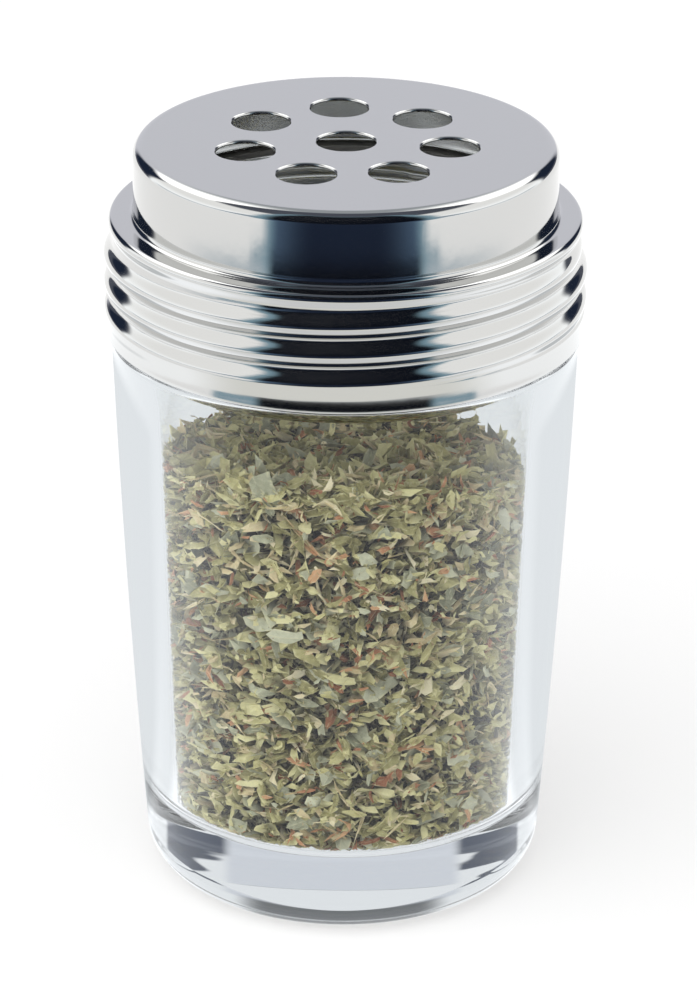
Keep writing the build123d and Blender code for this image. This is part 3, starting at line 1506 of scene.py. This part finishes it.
@dataclass(frozen=True)
class MirroredRoom:
    """What the steel mirrors above the floor: backdrop, side panels, dark gaps, dark front and
    overhead box."""

    ceiling: Colour = (0.10, 0.11, 0.14)
    backdrop: Colour = (0.78, 0.79, 0.86)
    panel: Colour = (1.20, 1.20, 1.19)
    panel_foot: Colour = (1.45, 1.48, 1.50)
    horizon: Colour = (0.26, 0.34, 0.42)
    shade_above: Colour = (0.005, 0.007, 0.013)
    box_light: Colour = (2.3, 2.3, 2.3)
    box_middle: Colour = (0.42, 0.45, 0.48)
    back: Patch = Patch(((-0.86, -0.93),), ((0.90, 0.80),))
    sides: Patch = Patch(((-0.62, -0.54),), ((0.80, 0.70),))
    gaps: Patch = Patch(((-0.60, -0.66), (-0.90, -0.86)), ((0.05, 0.09), (0.62, 0.52)))
    feathered: Patch = Patch(((0.60, 0.70),), ((0.97, 0.90),))
    unlit: Patch = Patch(((0.69, 0.79),), ((0.97, 0.90),))
    ragged_depth: float = 0.10
    ragged_length: float = 0.625
    ragged_stretch: tuple[float, float, float] = (1.0, 1.0, 9.0)
    panel_rise: Span = (0.10, 0.45)
    shade_rise: Span = (0.04, 0.14)
    strip_foot: Span = (0.0, 0.02)
    strip_top: Span = (0.085, 0.05)
    strip_side: Span = (-0.55, -0.35)
    strip_share: float = 0.85
    strip_swell: Span = (0.10, 0.75)
    strip_lift: float = 0.20
    box_slant: Span = (0.8, 0.6)
    box_depth: Span = (0.40, 0.30)
    box_width: Span = (0.75, 0.62)
    box_height: Span = (0.45, 0.55)
    box_glow: Span = (0.10, 0.42)

    def colour(self, nodes: NodeTree, x: Wire, y: Wire, height: Wire, front: Wire) -> Wire:
        """Paint the room.

        Args:
            nodes: The world's tree.
            x: The direction's x.
            y: The direction's y.
            height: The direction's z.
            front: How far the direction points to the front.

        Returns:
            The room's colour.
        """
        way = nodes.add("ShaderNodeTexCoord", output="Generated")
        noise = nodes.noise(nodes.stretched(way, self.ragged_stretch), self.ragged_length)
        ragged = front + self.ragged_depth * (noise - 0.5)
        seen = nodes.blend(self.back.share(front, height), self.ceiling, self.backdrop)
        panel = nodes.blend(height.rise(*self.panel_rise), self.panel_foot, self.panel)
        seen = nodes.blend(self.sides.share(front, height), seen, panel)
        swell = front.rise(*self.strip_swell)
        top = (height - self.strip_lift * swell * swell).rise(*self.strip_top)
        strip = height.rise(*self.strip_foot) * top * front.rise(*self.strip_side)
        seen = nodes.blend(strip * self.strip_share, seen, self.horizon)
        seen = nodes.blend(self.gaps.share(front, height), seen, DARK_FRONT.core)
        seen = nodes.blend(self.feathered.share(ragged, height), seen, DARK_FRONT.feather)
        above = height.rise(*self.shade_rise)
        shade = nodes.blend(above, DARK_FRONT.colour(nodes, front), self.shade_above)
        seen = nodes.blend(self.unlit.share(ragged, height), seen, shade)
        forward, upward = self.box_slant
        slant = (y * forward - height * upward).math("ABSOLUTE")
        aside = x.math("ABSOLUTE")
        box = nodes.blend(aside.rise(*self.box_glow), self.box_middle, self.box_light)
        inside = slant.rise(*self.box_depth) * aside.rise(*self.box_width)
        return nodes.blend(inside * height.rise(*self.box_height), seen, box)


@dataclass(frozen=True)
class GlassSurround:
    """What shows through the glass above the floor: pale, with a greyer middle and a dark foot
    at the back, a dark front, and a narrow pair of dark gaps that the jar's base picks up."""

    middle: Colour = (0.60, 0.635, 0.69)
    foot: Colour = (0.13, 0.14, 0.15)
    shade: Colour = (0.06, 0.075, 0.11)
    base_gaps: Patch = Patch(((-0.50, -0.55), (-0.90, -0.86)), ((0.4803, 0.4791), (0.45, 0.46)))
    dark_front: Patch = Patch(((0.66, 0.80),), ((0.97, 0.90),))
    back_middle: Patch = Patch(((-0.86, -0.90),), ((0.55, 0.52), (0.36, 0.40)))
    back_foot: Patch = Patch(((-0.90, -0.96),), ((0.43, 0.39), (0.02, 0.06)))

    def colour(self, nodes: NodeTree, height: Wire, front: Wire) -> Wire:
        """Paint the surround.

        Args:
            nodes: The world's tree.
            height: The direction's z.
            front: How far the direction points to the front.

        Returns:
            The surround's colour.
        """
        gaps = self.base_gaps.share(front, height)
        dark = gaps.math("MAXIMUM", self.dark_front.share(front, height))
        pale = nodes.blend(self.back_middle.share(front, height), GLASS_PALE, self.middle)
        seen = nodes.blend(dark, pale, self.shade)
        return nodes.blend(self.back_foot.share(front, height), seen, self.foot)


@dataclass(frozen=True)
class MirroredTable:
    """What the steel mirrors of the floor, and what shows of the floor through the glass.

    The steel mirrors a lit table around the shaker, paler close to it, with a darker rim to the
    front, a line beyond it, and the unlit front. Distances from the table's edge are outwards.
    """

    reach: float = 246.0
    front: Colour = (1.0, 1.0, 0.955)
    side: Colour = (1.36, 1.38, 1.40)
    rim: Colour = (0.34, 0.37, 0.40)
    line: Colour = (0.60, 0.68, 0.74)
    beyond: Colour = (1.17, 1.17, 1.17)
    black: Colour = (0.004, 0.005, 0.008)
    near_front: Colour = (0.90, 0.91, 0.92)
    near_side: Colour = (1.40, 1.43, 1.47)
    glass_side: Colour = (1.10, 1.13, 1.16)
    glass_front: Colour = (0.12, 0.125, 0.14)
    stand: Span = (58.0, 52.0)
    stand_pull: float = 0.10
    unlit_pull: float = 0.02
    foot: Span = (47.0, 42.0)
    foot_pull: float = 0.16
    ragged_depth: float = 0.06
    ragged_length: float = 9.0
    feathered: Span = (0.71, 0.79)
    blackened: Span = (42.0, 56.0)
    unlit: Span = (0.76, 0.83)
    edge: Span = (3.0, 6.0)
    line_patch: Patch = Patch(((-0.2, 0.6), (0.80, 0.70)), ((46.0, 44.0), (22.0, 28.0)))
    rim_patch: Patch = Patch(((0.60, 0.85),), ((-9.0, 4.0),))
    to_front: Span = (0.2, 0.75)
    near_to_side: Span = (-0.35, -0.15)
    near_to_front: Span = (0.15, 0.95)
    near_edge: Span = (170.0, 158.0)
    near_shift: float = 36.0
    near_front_shift: float = 20.0
    clear_side: Patch = Patch(((-0.25, -0.05),), ((25.0, 40.0),))
    clear_front: Patch = Patch(((0.0, 0.85),), ((25.0, 40.0),))

    def mirrored(self, nodes: NodeTree, place: Wire, distance: Wire, front: Wire) -> Wire:
        """Paint what the steel mirrors.

        Args:
            nodes: The floor's tree.
            place: The point on the floor.
            distance: Its distance from the jar's axis in millimetres.
            front: How far it lies to the front.

        Returns:
            The table's colour.
        """
        past = distance - self.reach
        stand = past.rise(*self.stand)
        noise = nodes.noise(place, self.ragged_length * MM) - 0.5
        pulled = self.stand_pull * stand + self.foot_pull * past.rise(*self.foot)
        ragged = front + pulled + self.ragged_depth * noise
        far = nodes.blend(ragged.rise(*self.feathered), self.beyond, DARK_FRONT.feather)
        shade = DARK_FRONT.colour(nodes, front)
        unlit = nodes.blend(past.rise(*self.blackened), self.black, shade)
        far = nodes.blend((front + self.unlit_pull * stand).rise(*self.unlit), far, unlit)
        far = nodes.blend(self.line_patch.share(front, past), far, self.line)
        table = nodes.blend(front.rise(*self.to_front), self.side, self.front)
        near = nodes.blend(front.rise(*self.near_to_side), GLASS_PALE, self.near_side)
        near = nodes.blend(front.rise(*self.near_to_front), near, self.near_front)
        shifted = distance + self.near_shift * front
        shifted = shifted - self.near_front_shift * front.math("MAXIMUM", 0.0)
        table = nodes.blend(shifted.rise(*self.near_edge), table, near)
        table = nodes.blend(self.rim_patch.share(front, past), table, self.rim)
        return nodes.blend(past.rise(*self.edge), table, far)

    def through_glass(self, nodes: NodeTree, distance: Wire, front: Wire) -> Wire:
        """Paint what shows through the glass.

        Args:
            nodes: The floor's tree.
            distance: The point's distance from the jar's axis in millimetres.
            front: How far it lies to the front.

        Returns:
            The floor's colour.
        """
        clear = nodes.blend(self.clear_side.share(front, distance), GLASS_PALE, self.glass_side)
        return nodes.blend(self.clear_front.share(front, distance), clear, self.glass_front)


@dataclass
class Studio:
    """The pale floor, the surroundings that the steel and the glass mirror, and the camera."""

    floor_size: float = 6000.0
    floor_colour: Colour = (0.95, 0.95, 0.95)
    shadow_share: float = 0.40
    white: Colour = (1.0, 1.0, 1.0)
    room: MirroredRoom = MirroredRoom()
    surround: GlassSurround = GlassSurround()
    table: MirroredTable = MirroredTable()
    fill_light: float = 0.12
    side_light: float = 1.4
    side_focus: float = 3.0
    key_light: float = 3.3
    key_focus: float = 4.0
    key_way: tuple[float, float, float] = (-0.25, -0.60, 0.76)
    least_reach: float = 0.001
    focal_length: float = 155.45
    sensor: float = 36.0
    clipping: Span = (0.01, 100.0)
    camera_distance: float = 606.4
    camera_elevation: float = 23.92
    camera_roll: float = 0.35
    aim: tuple[float, float, float] = (0.6, 0.0, 54.8)
    clear_bounces: int = 128
    diffuse_bounces: int = 5

    def world(self) -> None:
        """Make the surroundings.

        They are white to the camera, soft light from above the front, a little from the left,
        and from both sides on what isn't shiny, and the painted studio to what is.
        """
        world = bpy.data.worlds.new("studio")
        bpy.context.scene.world = world
        nodes = NodeTree(world)
        way = nodes.add("ShaderNodeTexCoord", output="Generated")
        x, y, height = nodes.axes(way)
        front = y * -1.0 / nodes.from_axis(way).math("MAXIMUM", self.least_reach)
        straight = nodes.ray("Diffuse Depth") < 0.5
        glossy = straight * nodes.ray("Is Glossy Ray")
        through = straight * nodes.ray("Is Transmission Ray")

        key_x, key_y, key_z = self.key_way
        key = (x * key_x + y * key_y + height * key_z).math("MAXIMUM", 0.0) ** self.key_focus
        sides = x.math("ABSOLUTE") ** self.side_focus
        soft = self.fill_light + self.side_light * sides + self.key_light * key
        light = nodes.add("ShaderNodeCombineXYZ", None, {0: soft, 1: soft, 2: soft})
        seen = nodes.blend(glossy, light, self.room.colour(nodes, x, y, height, front))
        seen = nodes.blend(through, seen, self.surround.colour(nodes, height, front))
        colour = nodes.blend(nodes.ray("Is Camera Ray"), seen, self.white)
        nodes.surface(nodes.add("ShaderNodeBackground", None, {"Color": colour, "Strength": 1.0}))

    def pale_floor(self) -> bpy.types.Material:
        """Make the floor's finish: pale with a soft shadow, and a painted table in mirrors.

        Returns:
            The material.
        """
        material = bpy.data.materials.new("pale_floor")
        nodes = NodeTree(material)
        glossy = nodes.ray("Is Glossy Ray")
        through = nodes.ray("Is Transmission Ray")
        straight = nodes.ray("Diffuse Depth") < 0.5
        place = nodes.place()
        y = nodes.axes(place)[1]
        distance = nodes.from_axis(place) / MM
        front = y * -1.0 / MM / distance.math("MAXIMUM", 1.0)
        mirrored = self.table.mirrored(nodes, place, distance, front)
        clear = self.table.through_glass(nodes, distance, front)
        colour = nodes.blend(through, nodes.blend(glossy, self.white, mirrored), clear)
        lit = nodes.ray("Is Camera Ray") * (1.0 - self.shadow_share)
        shown = (glossy.math("MAXIMUM", through) * straight).math("MAXIMUM", lit)
        pale = nodes.add("ShaderNodeBsdfDiffuse", None, {"Color": self.floor_colour})
        bright = nodes.add("ShaderNodeEmission", None, {"Color": colour, "Strength": 1.0})
        nodes.surface(nodes.add("ShaderNodeMixShader", None, {0: shown, 1: pale, 2: bright}))
        return material

    def floor(self) -> bpy.types.Object:
        """Make the floor.

        Returns:
            The floor.
        """
        half = self.floor_size / 2 * MM
        corners = [(-half, -half, 0), (half, -half, 0), (half, half, 0), (-half, half, 0)]
        data = bpy.data.meshes.new("floor")
        data.from_pydata(corners, [], [(0, 1, 2, 3)])
        data.materials.append(self.pale_floor())
        floor = show(bpy.data.objects.new("floor", data))
        return floor

    def camera(self) -> bpy.types.Object:
        """Make the camera, above the front of the shaker and very slightly rolled.

        Returns:
            The camera.
        """
        lens = bpy.data.cameras.new("camera")
        lens.sensor_fit = "VERTICAL"
        lens.sensor_width = lens.sensor_height = self.sensor
        lens.lens = self.focal_length
        lens.clip_start, lens.clip_end = self.clipping
        camera = show(bpy.data.objects.new("camera", lens))
        elevation = math.radians(self.camera_elevation)
        away = Vector((0.0, -math.cos(elevation), math.sin(elevation)))
        turned = (-away).to_track_quat("-Z", "Y").to_matrix().to_4x4()
        roll = Matrix.Rotation(math.radians(self.camera_roll), 4, "Z")
        place = Matrix.Translation((Vector(self.aim) + away * self.camera_distance) * MM)
        camera.matrix_world = place @ turned @ roll
        bpy.context.scene.camera = camera
        return camera

    def render_settings(self) -> None:
        """Plain colours, and enough bounces for glass inside glass."""
        scene = bpy.context.scene
        scene.view_settings.view_transform = "Standard"
        scene.cycles.max_bounces = self.clear_bounces
        scene.cycles.transmission_bounces = self.clear_bounces
        scene.cycles.glossy_bounces = self.clear_bounces
        scene.cycles.diffuse_bounces = self.diffuse_bounces

    def build(self) -> None:
        """Make the whole studio."""
        self.world()
        self.floor()
        self.camera()
        self.render_settings()


def main() -> None:
    """Build the shaker's pieces and the studio, and log each piece's face count."""
    logging.basicConfig(level=logging.INFO, format="%(name)s: %(message)s")
    Studio().build()
    jar = GlassJar()
    pieces = [jar.build(), ScrewLid().build(), SealWasher().dress(), *HerbHeap(jar).build()]
    for piece in pieces:
        log.info("%s: %d faces", piece.name, len(piece.data.polygons))


if __name__ == "__main__":
    main()
